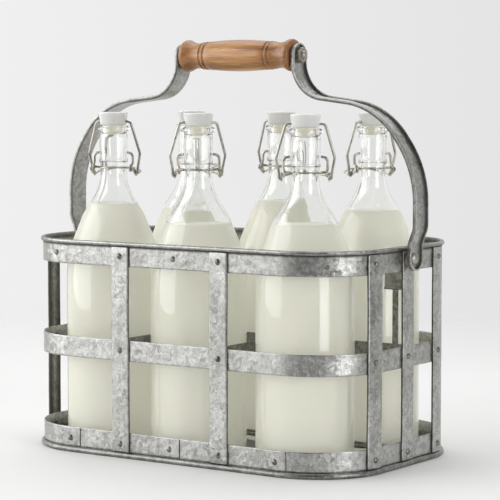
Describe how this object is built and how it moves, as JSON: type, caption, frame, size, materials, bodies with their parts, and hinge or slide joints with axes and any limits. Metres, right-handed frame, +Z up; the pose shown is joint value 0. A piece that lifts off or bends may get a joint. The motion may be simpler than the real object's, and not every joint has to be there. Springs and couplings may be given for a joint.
{
  "type": "milk bottle crate",
  "caption": "Galvanized strap crate with rounded ends, a swinging handle with a turned wooden grip, and swing-top glass bottles of milk that lift out",
  "frame": {"origin": "on the floor under the middle of the crate", "axes": "+X along the long side, through the grip's axis; +Y across, away from the front side; +Z up"},
  "size_m": [0.3974, 0.2314, 0.386],
  "materials": {
    "galvanized_steel": "spangled galvanized, mottled grey",
    "pivot_hardware": "zinc plated, worn",
    "turned_wood": "satin oiled hardwood",
    "clear_glass": "clear, smooth",
    "milk": "opaque liquid",
    "closure_wire": "bright zinc wire",
    "white_ceramic": "white glaze",
    "seal_rubber": "cream rubber"
  },
  "bodies": {
    "crate": {"base_tray": "galvanized_steel", "base_band": "galvanized_steel", "middle_band": "galvanized_steel", "top_band": "galvanized_steel", "side_straps": "galvanized_steel", "end_straps": "galvanized_steel", "lap_plates": "galvanized_steel", "band_rivets": "galvanized_steel", "divider_strap": "galvanized_steel", "cross_straps": "galvanized_steel", "floor_rail": "galvanized_steel", "divider_brackets": "galvanized_steel", "pivot_bolts": "pivot_hardware"},
    "handle": {"handle_arm_left": "galvanized_steel", "handle_arm_right": "galvanized_steel", "grip_bolt": "pivot_hardware", "grip_nuts": "pivot_hardware"},
    "grip": {"wooden_grip": "turned_wood"},
    "filled_bottle_1": {"bottle_1": "clear_glass", "milk_1": "milk", "collar_1": "closure_wire"},
    "lever_body_1": {"lever_1": "closure_wire"},
    "stopper_body_1": {"bail_1": "closure_wire", "stopper_1": "white_ceramic", "gasket_1": "seal_rubber"},
    "filled_bottle_2": {"bottle_2": "clear_glass", "milk_2": "milk", "collar_2": "closure_wire"},
    "lever_body_2": {"lever_2": "closure_wire"},
    "stopper_body_2": {"bail_2": "closure_wire", "stopper_2": "white_ceramic", "gasket_2": "seal_rubber"},
    "filled_bottle_3": {"bottle_3": "clear_glass", "milk_3": "milk", "collar_3": "closure_wire"},
    "lever_body_3": {"lever_3": "closure_wire"},
    "stopper_body_3": {"bail_3": "closure_wire", "stopper_3": "white_ceramic", "gasket_3": "seal_rubber"},
    "filled_bottle_4": {"bottle_4": "clear_glass", "milk_4": "milk", "collar_4": "closure_wire"},
    "lever_body_4": {"lever_4": "closure_wire"},
    "stopper_body_4": {"bail_4": "closure_wire", "stopper_4": "white_ceramic", "gasket_4": "seal_rubber"},
    "filled_bottle_5": {"bottle_5": "clear_glass", "milk_5": "milk", "collar_5": "closure_wire"},
    "lever_body_5": {"lever_5": "closure_wire"},
    "stopper_body_5": {"bail_5": "closure_wire", "stopper_5": "white_ceramic", "gasket_5": "seal_rubber"},
    "filled_bottle_6": {"bottle_6": "clear_glass", "milk_6": "milk", "collar_6": "closure_wire"},
    "lever_body_6": {"lever_6": "closure_wire"},
    "stopper_body_6": {"bail_6": "closure_wire", "stopper_6": "white_ceramic", "gasket_6": "seal_rubber"}
  },
  "joints": [
    {"name": "handle_swing", "type": "hinge", "parent": "crate", "child": "handle", "pos_m": [0, 0, 0.1885], "axis": [1, 0, 0], "range_deg": [-15, 15]},
    {"name": "grip_spin", "type": "hinge", "parent": "handle", "child": "grip", "pos_m": [0, 0, 0.371], "axis": [1, 0, 0], "continuous": true},
    {"name": "bottle_lift_1", "type": "slide", "parent": "crate", "child": "filled_bottle_1", "axis": [0, 0, -1], "range_m": [-0.205, 0]},
    {"name": "lever_turn_1", "type": "hinge", "parent": "filled_bottle_1", "child": "lever_body_1", "pos_m": [-0.10293, -0.06388, 0.2646], "axis": [-0.9703, -0.2419, 0], "range_deg": [-45, 0]},
    {"name": "bail_turn_1", "type": "hinge", "parent": "lever_body_1", "child": "stopper_body_1", "pos_m": [-0.10482, -0.05632, 0.2601], "axis": [-0.9703, -0.2419, 0], "range_deg": [0, 45]},
    {"name": "bottle_lift_2", "type": "slide", "parent": "crate", "child": "filled_bottle_2", "axis": [0, 0, -1], "range_m": [-0.205, 0]},
    {"name": "lever_turn_2", "type": "hinge", "parent": "filled_bottle_2", "child": "lever_body_2", "pos_m": [-0.00164, -0.06257, 0.2646], "axis": [-0.6428, -0.766, 0], "range_deg": [-45, 0]},
    {"name": "bail_turn_2", "type": "hinge", "parent": "lever_body_2", "child": "stopper_body_2", "pos_m": [-0.00761, -0.05756, 0.2601], "axis": [-0.6428, -0.766, 0], "range_deg": [0, 45]},
    {"name": "bottle_lift_3", "type": "slide", "parent": "crate", "child": "filled_bottle_3", "axis": [0, 0, -1], "range_m": [-0.205, 0]},
    {"name": "lever_turn_3", "type": "hinge", "parent": "filled_bottle_3", "child": "lever_body_3", "pos_m": [0.11524, -0.06332, 0.2646], "axis": [-0.829, -0.5592, 0], "range_deg": [-45, 0]},
    {"name": "bail_turn_3", "type": "hinge", "parent": "lever_body_3", "child": "stopper_body_3", "pos_m": [0.11088, -0.05685, 0.2601], "axis": [-0.829, -0.5592, 0], "range_deg": [0, 45]},
    {"name": "bottle_lift_4", "type": "slide", "parent": "crate", "child": "filled_bottle_4", "axis": [0, 0, 1], "range_m": [0, 0.205]},
    {"name": "lever_turn_4", "type": "hinge", "parent": "filled_bottle_4", "child": "lever_body_4", "pos_m": [-0.10358, 0.05823, 0.2646], "axis": [0.7431, -0.6691, 0], "range_deg": [0, 45]},
    {"name": "bail_turn_4", "type": "hinge", "parent": "lever_body_4", "child": "stopper_body_4", "pos_m": [-0.09836, 0.06402, 0.2601], "axis": [0.7431, -0.6691, 0], "range_deg": [-45, 0]},
    {"name": "bottle_lift_5", "type": "slide", "parent": "crate", "child": "filled_bottle_5", "axis": [0, 0, 1], "range_m": [0, 0.205]},
    {"name": "lever_turn_5", "type": "hinge", "parent": "filled_bottle_5", "child": "lever_body_5", "pos_m": [0.00712, 0.05602, 0.2646], "axis": [0.9945, 0.1045, 0], "range_deg": [0, 45]},
    {"name": "bail_turn_5", "type": "hinge", "parent": "lever_body_5", "child": "stopper_body_5", "pos_m": [0.0063, 0.06377, 0.2601], "axis": [0.9945, 0.1045, 0], "range_deg": [-45, 0]},
    {"name": "bottle_lift_6", "type": "slide", "parent": "crate", "child": "filled_bottle_6", "axis": [0, 0, 1], "range_m": [0, 0.205]},
    {"name": "lever_turn_6", "type": "hinge", "parent": "filled_bottle_6", "child": "lever_body_6", "pos_m": [0.11323, 0.05812, 0.2646], "axis": [0.4695, 0.8829, 0], "range_deg": [0, 45]},
    {"name": "bail_turn_6", "type": "hinge", "parent": "lever_body_6", "child": "stopper_body_6", "pos_m": [0.10635, 0.06178, 0.2601], "axis": [0.4695, 0.8829, 0], "range_deg": [-45, 0]}
  ],
  "couplings": [
    {"joint": "bail_turn_1", "follows": "lever_turn_1", "ratio": -1},
    {"joint": "bail_turn_2", "follows": "lever_turn_2", "ratio": -1},
    {"joint": "bail_turn_3", "follows": "lever_turn_3", "ratio": -1},
    {"joint": "bail_turn_4", "follows": "lever_turn_4", "ratio": -1},
    {"joint": "bail_turn_5", "follows": "lever_turn_5", "ratio": -1},
    {"joint": "bail_turn_6", "follows": "lever_turn_6", "ratio": -1}
  ]
}
